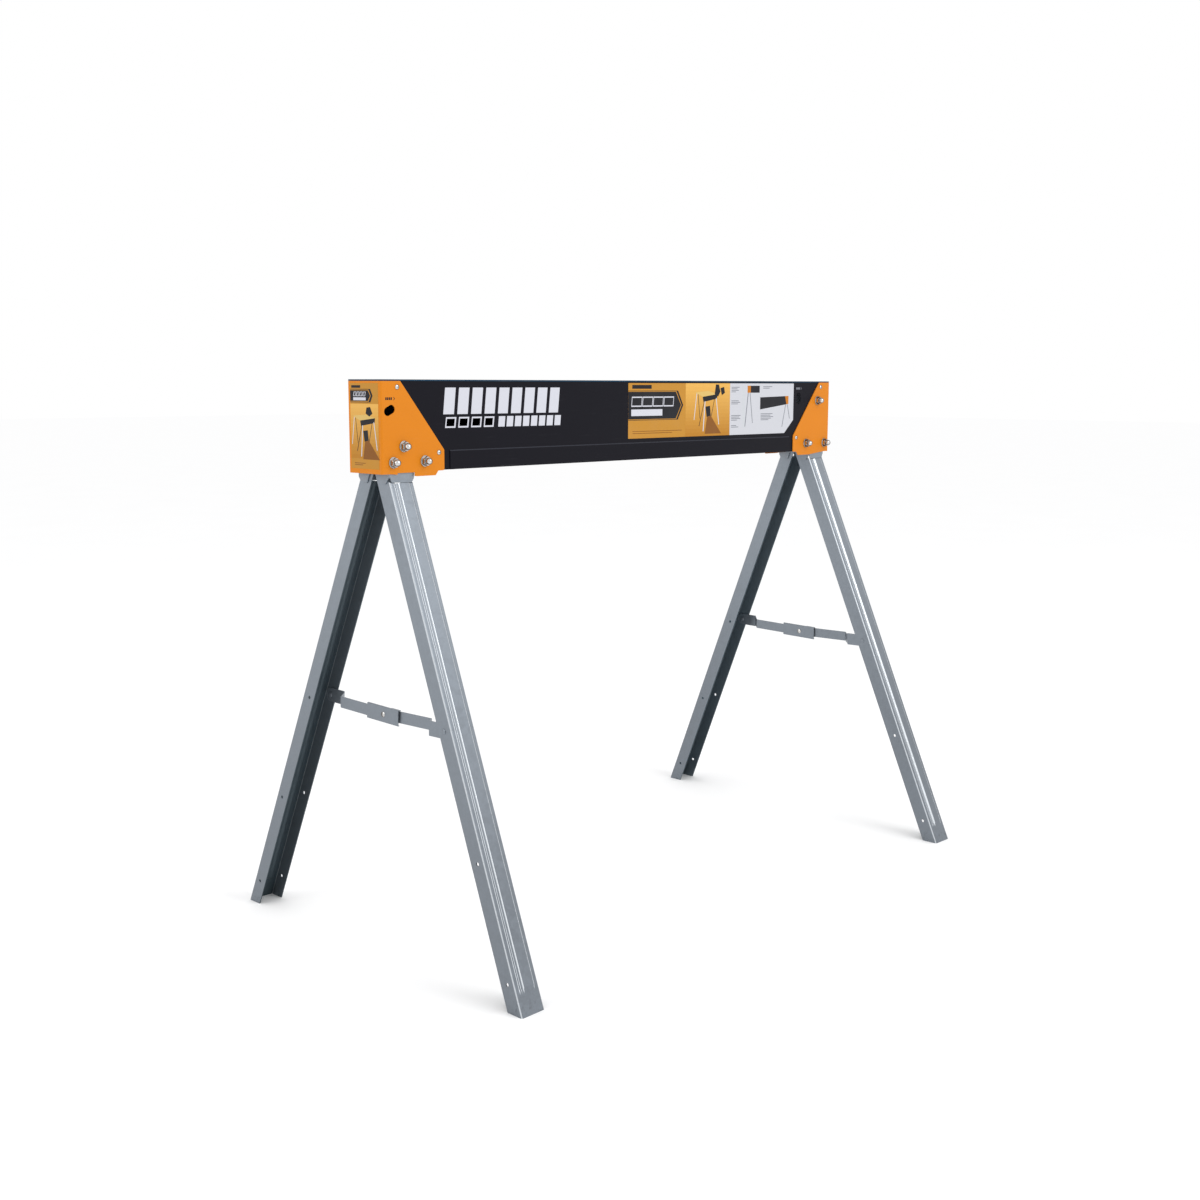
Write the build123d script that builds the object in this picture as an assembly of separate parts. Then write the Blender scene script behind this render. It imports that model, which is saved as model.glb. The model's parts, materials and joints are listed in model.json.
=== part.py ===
"""Folding sawhorse: a hollow steel beam on two pairs of folding channel legs.

Frame: origin on the floor below the middle of the beam, +X along the beam, +Y across it,
+Z up, millimetres.  Each pair of legs hangs from a bracket that swings about a bolt across
the beam.  A pair closes about two hinge pins, its brace folds upwards, and the bracket
swings the closed pair into the beam.  The right pair stows above the left one.
"""

import os
from math import atan2, cos, degrees, radians, sin, sqrt, tan

from build123d import *

# ----------------------------------------------------------------------------- beam
height = 813.0              # floor to the top face of the beam
beam_length = 1034.0
beam_width = 74.0           # over the top cap, the hems and the end brackets
beam_depth = 125.0          # top face down to the lower edge of the sides
beam_wall = 1.0
cap_wall = 1.2              # thickness of the top face
cap_edge = 2.0              # height of the cap's turned-down edge
cap_corner = 3.0            # plan radius of the cap's corners
cap_round = 0.8             # radius along the cap's upper edge
hem_height = 27.5           # folded lower band of the sides
hem_inset = 120.0           # end of the beam to the start of the hem
beam_end_gap = 3.0          # end wall of the bracket to the end of the beam's sides

# ----------------------------------------------------------------------------- end brackets
bracket_wall = 1.2
bracket_corner = 3.0        # outside radius of the two upright bends
bracket_top_run = 33.0      # length of the top edge
bracket_reach = 109.0       # length at the widest level
bracket_shoulder = 97.0     # top face down to where the slanted edge ends
bracket_heel_drop = 0.7     # how far the inboard end reaches below the beam
bracket_heel_length = 11.0  # inboard end of the bracket to its skirt
bracket_skirt = 7.0         # how far the skirt reaches below the beam
bracket_skirt_run = 16.0    # inboard end of the bracket to the full depth of the skirt
bracket_end_drop = 2.5      # how far the end wall reaches below the beam
bracket_edge_round = 3.0
skirt_slope = (15.0, 60.0)  # slope from the end wall's edge down to the skirt
relief = (26.0, 56.0)       # notch over the left leg bracket, from the end of the beam
relief_drop = 1.5           # beam's lower edge down to the top of the notch
lip_gap = 1.0               # hinge pin heads to the stop lips, across the beam
cap_gap = 0.1               # bracket's top edge to the cap

# ----------------------------------------------------------------------------- fasteners
stud_radius = 3.0
stud_places = ((19.0, 112.0), (74.0, 111.5))    # from the end, below the top face
stud_places_right = ((14.0, 111.5), (70.0, 111.0))
bracket_rivet_places = ((27.5, 10.2), (99.5, 100.5))
bracket_rivet_radius = 3.5
bracket_rivet_shank = 2.0
bracket_rivet_head = 1.8
washer_radius = 7.8
washer_wall = 1.5
nut_across = 12.0           # across the flats
nut_height = 5.0
dome_radius = 4.9
dome_height = 14.0          # bracket to the tip of the dome

# ----------------------------------------------------------------------------- swing pivots
pivot_inset = 37.5          # end of the beam to the pivot bolt
pivot_drop_left = 90.4      # top face down to the bolt
pivot_drop_right = 34.5
bolt_radius = 4.0
sleeve_radius = 7.0
running_gap = 0.05          # radial clearance of every pivot
body_gap = 0.3              # between faces that move past each other
flap_gap = 0.5              # leg bracket to the inside of the beam

# ----------------------------------------------------------------------------- leg pairs
splay = 22.6                # degrees, each leg from the pair's middle plane
lean = 1.8                  # degrees, pair from upright, feet outwards
pair_outset = 1.0           # legs off the pivot bolt, towards the end of the beam
hinge_rise = 2.0            # lower edge of the beam up to the leg hinges
leg_width = 41.0
leg_wall = 1.5
leg_corner = 2.5            # outside radius of the channel's bends
flange_depth = 25.4
hinge_from_web = 14.6       # outer face of the web to the hinge pin
rib_height = 0.8            # pressed-out panel of the web
rib_margin = 8.0            # plain side of the web to the panel
groove_depth = 0.7
groove_edges = (7.0, 13.0)  # across the web, from its grooved side
press_slope = 1.8           # width of each pressed edge
press_round = 1.6           # radius along each pressed edge
foot_plain = 29.0           # plain length above the foot
foot_spare = 25.0           # extra length cut away by the floor
web_top = 25.0              # hinge pin down to the top edge of the web
ear_outer = 11.5            # hinge pin to the ear's outer edge
ear_top = 8.0               # hinge pin up to the top of the ear
ear_slope = 3.0
flange_hole_rises = (197.8, 38.8)       # foot up to each spare hole, along the leg
flange_hole_depth = 12.5    # outer face of the web to the spare holes
flange_hole_radius = 2.5

# ----------------------------------------------------------------------------- leg brackets
plate_wall = 1.5
plate_corner = 2.0          # outside radius of the upright bends
plate_top = 14.0            # pivot bolt up to the top of the bracket
flap_drop = 16.7            # leg hinge down to the lower edge of the flaps
lobe_drop = 19.0            # leg hinge down to the bottom of the lobes
lobe_inner = 9.0            # middle plane to the lobes
lobe_foot = (14.0, 27.0)    # middle plane to the flat bottom of a lobe
lobe_root = 6.0             # leg hinge down to where the lobes begin
lobe_shoulder = 9.0         # leg hinge down to where the outer corners slant in
lobe_round = 3.0            # radius of the lobes' lower corners
flap_taper = 5.0            # slant of each side of a flap, below the shoulders
pin_radius = 3.0
pin_head_radius = 5.0
pin_head = 1.8

# ----------------------------------------------------------------------------- stow latches
slot_length = 19.0
slot_width = 12.0
slot_left = (14.0, 41.5)    # from the end, below the top face
slot_right = (93.8, 30.2)
latch_radius = 5.0
latch_collar_radius = 6.5
latch_collar = 1.0
latch_length = 6.0
latch_arm_radius = 10.0
latch_travel = 3.0

# ----------------------------------------------------------------------------- braces
brace_share = 0.495         # hinge pin down to the brace rivet, in leg lengths
brace_from_web = 15.0       # outer face of the web to the brace rivet
brace_sag = 1.2             # degrees that each half hangs past straight
strip_height = 16.6
strip_wall = 1.5
strip_end_height = 20.7     # taller end beside the flange
joggle_start = 33.0         # brace rivet to the start of the joggle
joggle_run = 18.0
joggle_relief = (15.5, 18.5)  # notch in the lower edge, from the start of the joggle
joggle_relief_depth = 1.5
channel_reach = 33.5        # centre rivet to the channel's end over the front strip
channel_tail = 37.0         # centre rivet to its end along the back strip
channel_half_height = 11.35
channel_wall = 1.2
stop_tab_start = 14.0       # centre rivet to the over-centre stop tab
brace_rivet_radius = 2.5
brace_rivet_head_radius = 4.0
brace_rivet_head = 1.6

# ----------------------------------------------------------------------------- labels
label_wall = 0.15
front_label_edges = (489.0, 925.0)      # from the left end of the beam
front_label_drops = (4.0, 91.5)         # below the top face
front_label_clip = (26.0, 23.0)         # cut-off lower right corner
end_label_width = 62.0
end_label_drops = (5.0, 121.0)

# ----------------------------------------------------------------------------- worked out
half_length = beam_length / 2
half_width = beam_width / 2
beam_bottom = height - beam_depth
side_outer = half_width - bracket_wall          # outer face of the beam's sides
side_inner = side_outer - beam_wall
end_wall_inner = half_length - bracket_wall
flap_outer = side_inner - flap_gap
flap_inner = flap_outer - plate_wall
half_leg = leg_width / 2
plate_inner = half_leg + body_gap
plate_outer = plate_inner + plate_wall
leg_hinge_height = beam_bottom + hinge_rise
leg_length = leg_hinge_height / cos(radians(splay)) / cos(radians(lean))
brace_drop = brace_share * leg_length
hinge_offset = flange_depth + body_gap - hinge_from_web     # middle plane to a hinge pin
flange_edge = flange_depth - hinge_from_web                 # hinge pin to the flange's free edge
ear_turn = hinge_offset - body_gap                          # radius swept by the ear's inner side
roof_height = (
    ear_outer * sin(radians(splay)) + ear_top * cos(radians(splay)) + body_gap
)                                                           # leg hinge up to the opening stop
strip_reach = (
    hinge_offset
    + brace_drop * sin(radians(splay))
    - (brace_from_web - hinge_from_web) * cos(radians(splay))
)                                                           # middle plane to a brace rivet
strip_length = strip_reach / cos(radians(brace_sag))
end_layer = -half_leg + leg_wall + body_gap                 # strip ends, beside the flange
strip_layer = body_gap / 2                                  # strips, either side of the middle
channel_layer = strip_layer + strip_wall


class Side:
    """One end of the sawhorse: -1 is left, +1 is right."""

    def __init__(self, name, sign, pivot_drop, slot, studs):
        self.name = name
        self.sign = sign
        self.pivot = Vector(sign * (half_length - pivot_inset), 0, height - pivot_drop)
        self.slot = self.from_end(*slot)
        self.studs = studs
        self.lean = -sign * lean
        self.place = Pos(self.pivot) * Rot(0, self.lean, 0)
        self.middle = sign * pair_outset                # legs' middle, from the pivot
        self.hinge_drop = (self.pivot.Z - leg_hinge_height) / cos(radians(lean))

    def from_end(self, inset, drop):
        """Place on the side of the beam, from its distances to the end and the top."""
        return self.sign * (half_length - inset), height - drop

    def latch(self):
        """The latch at rest, from the pivot: the slot's place turned back by the stowing swing."""
        across = self.slot[0] - self.pivot.X
        up = self.slot[1] - self.pivot.Z
        return -self.sign * up, self.sign * across


left = Side("left", -1, pivot_drop_left, slot_left, stud_places)
right = Side("right", 1, pivot_drop_right, slot_right, stud_places_right)
sides = (left, right)
faces = (-1, 1)                                         # front and back of the beam


# ----------------------------------------------------------------------------- helpers
def plate_xz(points, y_low, y_high):
    """Solid with an outline in X and Z, between two values of Y."""
    plane = Plane(origin=(0, y_high, 0), x_dir=(1, 0, 0), z_dir=(0, -1, 0))
    return extrude(plane * make_face(Polyline(*points, close=True)), y_high - y_low)


def plate_yz(points, x_low, x_high):
    """Solid with an outline in Y and Z, between two values of X."""
    plane = Plane(origin=(x_low, 0, 0), x_dir=(0, 1, 0), z_dir=(1, 0, 0))
    return extrude(plane * make_face(Polyline(*points, close=True)), x_high - x_low)


def block(x, y, z):
    """Box from three pairs of limits."""
    centre = Pos(sum(x) / 2, sum(y) / 2, sum(z) / 2)
    return centre * Box(x[1] - x[0], y[1] - y[0], z[1] - z[0])


def rod_x(radius, x_low, x_high, y=0, z=0):
    """Cylinder along X."""
    return Pos((x_low + x_high) / 2, y, z) * Rot(0, 90, 0) * Cylinder(radius, x_high - x_low)


def rod_y(radius, y_low, y_high, x=0, z=0):
    """Cylinder along Y."""
    return Pos(x, (y_low + y_high) / 2, z) * Rot(90, 0, 0) * Cylinder(radius, y_high - y_low)


def dome(radius, rise, grip):
    """Head whose domed side faces +Z, on a plain rim of the given height."""
    ball = (radius**2 + rise**2) / (2 * rise)
    cap = Pos(0, 0, grip + rise - ball) * Sphere(ball)
    return (Cylinder(radius, grip + rise, align=(Align.CENTER, Align.CENTER, Align.MIN)) & cap)


def facing(face, x, y, z):
    """Place for a head that points out of the front (-1) or back (+1) of the beam."""
    return Pos(x, face * y, z) * Rot(-90 * face, 0, 0)


def tangent_slot(side, y_low, y_high):
    """Slot whose long side follows the latch's circle about the pivot."""
    across = side.slot[0] - side.pivot.X
    up = side.slot[1] - side.pivot.Z
    tilt = degrees(atan2(up, across)) + 90
    plane = Plane(origin=(0, y_high, 0), x_dir=(1, 0, 0), z_dir=(0, -1, 0))
    outline = Pos(*side.slot) * Rot(0, 0, tilt) * SlotOverall(slot_length, slot_width)
    return extrude(plane * outline, y_high - y_low)


def cross_holes(side):
    """Rods across one end of the beam, for the holes of its bolt, studs and rivets."""
    holes = [rod_y(bolt_radius, -half_width, half_width, side.pivot.X, side.pivot.Z)]
    for inset, drop in side.studs:
        x, z = side.from_end(inset, drop)
        holes.append(rod_y(stud_radius, -half_width, half_width, x, z))
    for inset, drop in bracket_rivet_places:
        x, z = side.from_end(inset, drop)
        holes.append(rod_y(bracket_rivet_shank, -half_width, half_width, x, z))
    return holes


# ----------------------------------------------------------------------------- beam
def beam_shell():
    """Inverted steel trough with a capped top and folded hems along its lower edges."""
    cap = block((-half_length, half_length), (-half_width, half_width), (height - cap_edge, height))
    cap = fillet(cap.edges().filter_by(Axis.Z), cap_corner)
    cap = fillet(cap.edges().group_by(Axis.Z)[-1], cap_round)
    side_end = end_wall_inner - beam_end_gap
    shell = cap + block(
        (-side_end, side_end), (-side_outer, side_outer), (beam_bottom, height - cap_edge)
    )
    for face in faces:
        outer = face * half_width
        inner = face * side_outer
        top = beam_bottom + hem_height
        step = half_width - side_outer
        hem = plate_yz(
            [(inner, beam_bottom), (outer, beam_bottom), (outer, top - step), (inner, top)],
            -half_length + hem_inset,
            half_length - hem_inset,
        )
        shell += hem
    shell -= block(
        (-half_length, half_length), (-side_inner, side_inner), (0, height - cap_edge)
    )
    shell -= block(
        (-end_wall_inner, end_wall_inner), (-side_inner, side_inner), (0, height - cap_wall)
    )
    for side in sides:
        shell -= tangent_slot(side, -half_width, 0)
        shell -= cross_holes(side)
    return shell


def stop_lip_reach(side):
    """End of the beam to the leg bracket's outer plate, at the level of the lip."""
    level = side.pivot.Z - (beam_bottom - bracket_end_drop)
    plate = (plate_outer + pair_outset) / cos(radians(lean)) + level * tan(radians(lean))
    return pivot_inset - plate - body_gap


def end_bracket(side):
    """Folded steel bracket round one end of the beam, with a lip that stops the leg bracket."""
    top = height - cap_edge - cap_gap
    bottom = beam_bottom - bracket_skirt
    end_bottom = beam_bottom - bracket_end_drop
    heel = bracket_reach - bracket_heel_length
    outline = [(0, top), (bracket_top_run, top)]
    outline += [(bracket_reach, height - bracket_shoulder)]
    outline += [(bracket_reach, beam_bottom - bracket_heel_drop)]
    outline += [(heel, beam_bottom - bracket_heel_drop)]
    outline += [(bracket_reach - bracket_skirt_run, bottom)]
    outline += [(skirt_slope[1], bottom), (skirt_slope[0], end_bottom), (0, end_bottom)]
    points = [(side.sign * (half_length - inset), z) for inset, z in outline]
    body = plate_xz(points, -half_width, half_width)
    inboard = body.edges().filter_by(Axis.Y).sort_by(lambda edge: abs(edge.center().X))
    body = fillet(inboard[0:2], bracket_edge_round)
    upright = body.edges().filter_by(Axis.Z).sort_by(lambda edge: -abs(edge.center().X))
    body = fillet(upright[0:2], bracket_corner)
    inner = block(
        (-end_wall_inner, end_wall_inner), (-side_outer, side_outer), (0, height)
    )
    inner_bends = inner.edges().filter_by(Axis.Z)
    body -= fillet(inner_bends, bracket_corner - bracket_wall)
    lip = block(
        (half_length - stop_lip_reach(side), end_wall_inner),
        (-side_outer, side_outer),
        (end_bottom, end_bottom + bracket_wall),
    )
    lip = fillet(lip.edges().filter_by(Axis.Z).sort_by(Axis.X)[2:4], bracket_corner - bracket_wall)
    clear = hinge_offset + pin_head_radius + lip_gap
    lip -= block((0, end_wall_inner), (-clear, clear), (0, height))
    body += lip if side.sign > 0 else Rot(0, 0, 180) * lip
    if side is left:
        body -= tangent_slot(side, -half_width, 0)
        body -= block(
            (-half_length + relief[0], -half_length + relief[1]),
            (-half_width, half_width),
            (0, beam_bottom - relief_drop),
        )
    return body - cross_holes(side)


def each_side_place(places_of):
    """Every (face, x, z) of a set of fasteners."""
    for side in sides:
        for inset, drop in places_of(side):
            for face in faces:
                yield (face, *side.from_end(inset, drop))


def bracket_rivets():
    """Rivets that hold the end brackets to the beam, set flush on the inside."""
    solids = []
    grip = half_width - side_inner
    for face, x, z in each_side_place(lambda side: bracket_rivet_places):
        head = dome(bracket_rivet_radius, bracket_rivet_head * 0.75, bracket_rivet_head * 0.25)
        shank = Pos(0, 0, -grip / 2) * Cylinder(bracket_rivet_shank, grip)
        solids.append(facing(face, x, half_width, z) * (head + shank))
    return solids


def fixing_studs():
    """Studs pressed into the beam's sides, flush on the inside."""
    solids = []
    tip = half_width + washer_wall + nut_height
    for face, x, z in each_side_place(lambda side: side.studs):
        low, high = sorted((face * side_inner, face * tip))
        solids.append(rod_y(stud_radius, low, high, x, z))
    return solids


def washer(bore):
    """Flat washer standing on Z = 0."""
    ring = Pos(0, 0, washer_wall / 2) * Cylinder(washer_radius, washer_wall)
    ring = fillet(ring.edges().group_by(Axis.Z)[-1], washer_wall / 4)
    return ring - Cylinder(bore, 4 * washer_wall)


def dome_nut(bore):
    """Hexagon nut with a domed cap, standing on Z = 0 and closed at the top."""
    corner = nut_across / sqrt(3)
    hexagon = extrude(RegularPolygon(corner, 6), nut_height)
    taper = Cone(
        corner + nut_height / 2,
        corner - nut_height / 8,
        nut_height,
        align=(Align.CENTER, Align.CENTER, Align.MIN),
    )
    cap = dome(dome_radius, dome_radius, dome_height - washer_wall - dome_radius)
    return (hexagon & taper) + cap - Cylinder(bore, 2 * nut_height)


def fixing_washers():
    """One washer on each stud."""
    ring = washer(stud_radius)
    places = each_side_place(lambda side: side.studs)
    return [facing(face, x, half_width, z) * ring for face, x, z in places]


def fixing_nuts():
    """One domed nut on each stud."""
    nut = dome_nut(stud_radius)
    places = each_side_place(lambda side: side.studs)
    return [facing(face, x, half_width + washer_wall, z) * nut for face, x, z in places]


def pivot_washers():
    """A washer under each nut of the two pivot bolts."""
    ring = washer(bolt_radius)
    return [
        facing(face, side.pivot.X, half_width, side.pivot.Z) * ring
        for side in sides
        for face in faces
    ]


def pivot_nuts():
    """A domed nut on each end of the two pivot bolts."""
    nut = dome_nut(bolt_radius)
    return [
        facing(face, side.pivot.X, half_width + washer_wall, side.pivot.Z) * nut
        for side in sides
        for face in faces
    ]


def pivot_bolt(side):
    """Threaded rod across the beam."""
    tip = half_width + washer_wall + nut_height
    return rod_y(bolt_radius, -tip, tip, side.pivot.X, side.pivot.Z)


def pivot_sleeve(side):
    """Tube that turns on the bolt between the beam's sides."""
    end = side_inner - body_gap
    tube = rod_y(sleeve_radius, -end, end, side.pivot.X, side.pivot.Z)
    return tube - rod_y(bolt_radius + running_gap, -end, end, side.pivot.X, side.pivot.Z)


# ----------------------------------------------------------------------------- leg brackets
def leg_bracket(side):
    """Folded steel box that swings on the sleeve and carries two leg hinges."""
    hinge = -side.hinge_drop
    x_low = side.middle - plate_outer
    x_high = side.middle + plate_outer
    half = [
        (lobe_inner, hinge - lobe_root),
        (lobe_foot[0], hinge - lobe_drop),
        (lobe_foot[1], hinge - lobe_drop),
        (flap_outer, hinge - lobe_shoulder),
        (flap_outer, plate_top),
    ]
    outline = half + [(-y, z) for y, z in reversed(half)]
    body = plate_yz(outline, x_low, x_high)
    body = fillet(body.edges().filter_by(Axis.X).group_by(Axis.Z)[0], lobe_round)
    body = fillet(body.edges().filter_by(Axis.Z), plate_corner)
    hollow = block(
        (x_low + plate_wall, x_high - plate_wall), (-flap_inner, flap_inner), (-height, height)
    )
    body -= hollow
    flap = [
        (x_low + flap_taper, hinge - flap_drop),
        (x_high - flap_taper, hinge - flap_drop),
        (x_high - plate_corner, hinge - lobe_shoulder),
        (x_high - plate_corner, hinge),
        (x_low + plate_corner, hinge),
        (x_low + plate_corner, hinge - lobe_shoulder),
    ]
    for face in faces:
        y_low, y_high = sorted((face * flap_inner, face * flap_outer))
        body += plate_xz(flap, y_low, y_high)
    roof = block(
        (x_low + plate_wall / 2, x_high - plate_wall / 2),
        (-flap_outer + plate_wall / 2, flap_outer - plate_wall / 2),
        (hinge + roof_height, hinge + roof_height + plate_wall),
    )
    body += roof
    latch_x, latch_z = side.latch()
    if side is left:
        reach = sqrt(latch_x**2 + latch_z**2)
        arm = block((0, reach), (-flap_outer, -flap_inner), (-latch_arm_radius, latch_arm_radius))
        arm = Rot(0, -degrees(atan2(latch_z, latch_x)), 0) * arm
        body += arm
        body += rod_y(latch_arm_radius, -flap_outer, -flap_inner, latch_x, latch_z)
    body -= rod_y(latch_radius + running_gap, -flap_outer, -flap_inner, latch_x, latch_z)
    body -= rod_y(sleeve_radius + running_gap, -flap_outer, flap_outer)
    for face in faces:
        body -= rod_x(pin_radius, x_low, x_high, face * hinge_offset, hinge)
    return side.place * body


def hinge_pins(side):
    """The two headed pins that the legs turn on."""
    hinge = -side.hinge_drop
    low = side.middle - plate_outer
    high = side.middle + plate_outer
    pins = []
    for face in faces:
        y = face * hinge_offset
        pin = rod_x(pin_radius, low, high, y, hinge)
        head = dome(pin_head_radius, pin_head * 0.6, pin_head * 0.4)
        pin += Pos(high, y, hinge) * Rot(0, 90, 0) * head
        pin += Pos(low, y, hinge) * Rot(0, -90, 0) * head
        pins.append(side.place * pin)
    return pins


def stow_latch(side):
    """Sprung button in the front flap, pressed inwards to free the stowed pair."""
    x, z = side.latch()
    button = rod_y(latch_radius, -flap_outer, -flap_outer + latch_length, x, z)
    collar_low = -flap_inner + body_gap
    button += rod_y(latch_collar_radius, collar_low, collar_low + latch_collar, x, z)
    return side.place * button


# ----------------------------------------------------------------------------- legs
def leg_section(pressed):
    """Cross-section of a leg: channel open towards +Y, its web pressed or plain."""
    outer = -hinge_from_web
    pressing = []
    if pressed:
        pressing = [
            (groove_edges[0], 0),
            (groove_edges[0] + press_slope, -groove_depth),
            (groove_edges[1], -groove_depth),
            (groove_edges[1] + press_slope, rib_height),
            (leg_width - rib_margin, rib_height),
            (leg_width - rib_margin + press_slope, 0),
        ]
    web = [(across - half_leg, outer - rise) for across, rise in pressing]
    points = [(-half_leg, flange_edge), (-half_leg, outer)] + web
    points += [(half_leg, outer), (half_leg, flange_edge)]
    inner = half_leg - leg_wall
    points += [(inner, flange_edge), (inner, outer + leg_wall)]
    points += [(x, y + leg_wall) for x, y in reversed(web)]
    points += [(-inner, outer + leg_wall), (-inner, flange_edge)]
    section = make_face(Polyline(*points, close=True))
    bends = [
        corner
        for corner in section.vertices()
        if abs(abs(corner.X) - half_leg) < 0.01 and abs(corner.Y - outer) < 0.01
    ]
    section = fillet(bends, leg_corner)
    edges = [
        corner
        for corner in section.vertices()
        if any(abs(corner.X - x) < 0.01 for x, _ in web)
    ]
    return fillet(edges, press_round) if pressed else section


def leg(side, face):
    """One leg, opened to its splay and cut level with the floor."""
    low = -leg_length - foot_spare
    pressed = Pos(0, 0, foot_plain - leg_length) * extrude(leg_section(True), leg_length)
    plain = Pos(0, 0, low) * extrude(leg_section(False), foot_plain + foot_spare)
    channel = pressed + plain
    chord = sqrt(ear_turn**2 - ear_top**2)
    mid = radians(degrees(atan2(ear_top, chord)) / 2)
    web_side = -hinge_from_web - rib_height
    edge = (
        Polyline(
            (flange_edge, 0),
            (flange_edge, low),
            (web_side, low),
            (web_side, -web_top),
            (-ear_outer, -web_top + ear_slope),
            (-ear_outer, ear_top),
            (chord, ear_top),
        )
        + ThreePointArc(
            (chord, ear_top), (ear_turn * cos(mid), ear_turn * sin(mid)), (flange_edge, 0)
        )
    )
    plane = Plane(origin=(-half_leg, 0, 0), x_dir=(0, 1, 0), z_dir=(1, 0, 0))
    profile = extrude(plane * make_face(edge), leg_width)
    body = channel & profile
    inner = half_leg - leg_wall
    body -= block((-inner, inner), (-height, height), (-web_top, height))
    body -= rod_x(pin_radius + running_gap, -half_leg, half_leg)
    for rise in flange_hole_rises:
        y = flange_hole_depth - hinge_from_web
        body -= rod_x(flange_hole_radius, -half_leg, half_leg, y, rise - leg_length)
    y = brace_from_web - hinge_from_web
    body -= rod_x(brace_rivet_radius, -half_leg, half_leg, y, -brace_drop)
    body = leg_place(side, face) * body
    return body - block((-height * 2, height * 2), (-height, height), (-height, 0))


def leg_place(side, face):
    """Place of an opened leg.  The back leg is the front one turned half round."""
    turn = Pos(side.middle, 0, 0)
    if face > 0:
        turn *= Rot(0, 0, 180)
    return side.place * turn * Pos(0, -hinge_offset, -side.hinge_drop) * Rot(-splay, 0, 0)


# ----------------------------------------------------------------------------- braces
def brace_rivet_point(side):
    """Height of the brace rivets from the pivot, in the pair's own frame."""
    lift = (brace_from_web - hinge_from_web) * sin(radians(splay))
    return -side.hinge_drop - brace_drop * cos(radians(splay)) - lift


def strip_place(side, face):
    """Place of a brace half whose rivet is at the origin and whose tip lies along +Y."""
    place = side.place * Pos(side.middle, face * strip_reach, brace_rivet_point(side))
    if face > 0:
        place *= Rot(0, 0, 180)
    return place * Rot(-brace_sag, 0, 0)


def brace_strip(side, face):
    """Strip that steps from beside the flange to the middle.  Both halves are the same part."""
    line = [
        (end_layer, -strip_end_height / 2),
        (end_layer, joggle_start),
        (strip_layer, joggle_start + joggle_run),
        (strip_layer, strip_length + strip_height / 2),
    ]
    points = line + [(x + strip_wall, y) for x, y in reversed(line)]
    section = make_face(Polyline(*points, close=True))
    body = Pos(0, 0, -strip_end_height / 2) * extrude(section, strip_end_height)
    low = (-strip_end_height / 2, strip_end_height / 2)
    high = (-strip_height / 2, strip_height / 2)
    outline = block((-half_leg, half_leg), (0, joggle_start), low)
    outline += block((-half_leg, half_leg), (0, strip_length), high)
    outline += rod_x(strip_end_height / 2, -half_leg, half_leg)
    outline += rod_x(strip_height / 2, -half_leg, half_leg, strip_length)
    body &= outline
    body -= block(
        (-half_leg, half_leg),
        (joggle_start + joggle_relief[0], joggle_start + joggle_relief[1]),
        (-strip_height, -strip_height / 2 + joggle_relief_depth),
    )
    body -= rod_x(brace_rivet_radius + running_gap, -half_leg, 0)
    body -= rod_x(brace_rivet_radius, 0, half_leg, strip_length)
    return strip_place(side, face) * body


def brace_channel(side):
    """Channel riveted to the back strip, with a stop tab that rests over the front strip."""
    outer = channel_layer + channel_wall
    top = channel_half_height
    inner = top - channel_wall
    low = strip_length - channel_tail
    high = strip_length + channel_reach
    body = block((channel_layer, outer), (low, high), (-top, top))
    for level in ((inner, top), (-top, -inner)):
        body += block((strip_layer, outer), (low, high), level)
    tab = (-channel_layer - body_gap, outer)
    body += block(tab, (strip_length + stop_tab_start, high), (inner, top))
    body = fillet(body.edges().filter_by(Axis.Y).group_by(Axis.X)[-1], channel_wall * 0.6)
    body -= rod_x(brace_rivet_radius, -half_leg, half_leg, strip_length)
    return strip_place(side, 1) * body


def rivet_head(outward):
    """Domed rivet head along X, pointing to the given side."""
    head = dome(brace_rivet_head_radius, brace_rivet_head * 0.7, brace_rivet_head * 0.3)
    return Rot(0, 90 * outward, 0) * head


def brace_leg_rivet(side, face):
    """Rivet from a leg's flange through the end of a strip."""
    tail = end_layer + strip_wall + body_gap
    body = rod_x(brace_rivet_radius, -half_leg, tail)
    body += Pos(-half_leg, 0, 0) * rivet_head(-1)
    body += Pos(tail, 0, 0) * rivet_head(1)
    return strip_place(side, face) * body


def brace_centre_rivet(side):
    """Head half of the centre rivet, in the channel and the back strip."""
    outer = channel_layer + channel_wall
    body = rod_x(brace_rivet_radius, strip_layer, outer, strip_length)
    body += Pos(outer, strip_length, 0) * rivet_head(1)
    return strip_place(side, 1) * body


def brace_centre_tail(side):
    """Tail half of the centre rivet, in the front strip."""
    body = rod_x(brace_rivet_radius, strip_layer, channel_layer, strip_length)
    body += Pos(channel_layer, strip_length, 0) * rivet_head(1)
    return strip_place(side, -1) * body


# ----------------------------------------------------------------------------- labels
def front_label():
    """Printed label on the front of the beam, with one corner cut off."""
    x_low = -half_length + front_label_edges[0]
    x_high = -half_length + front_label_edges[1]
    z_high = height - front_label_drops[0]
    z_low = height - front_label_drops[1]
    clip_x, clip_z = front_label_clip
    points = [(x_low, z_low), (x_high - clip_x, z_low), (x_high, z_low + clip_z)]
    points += [(x_high, z_high), (x_low, z_high)]
    return plate_xz(points, -side_outer - label_wall, -side_outer)


def end_label():
    """Printed label on the left end wall."""
    return block(
        (-half_length - label_wall, -half_length),
        (-end_label_width / 2, end_label_width / 2),
        (height - end_label_drops[1], height - end_label_drops[0]),
    )


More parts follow.
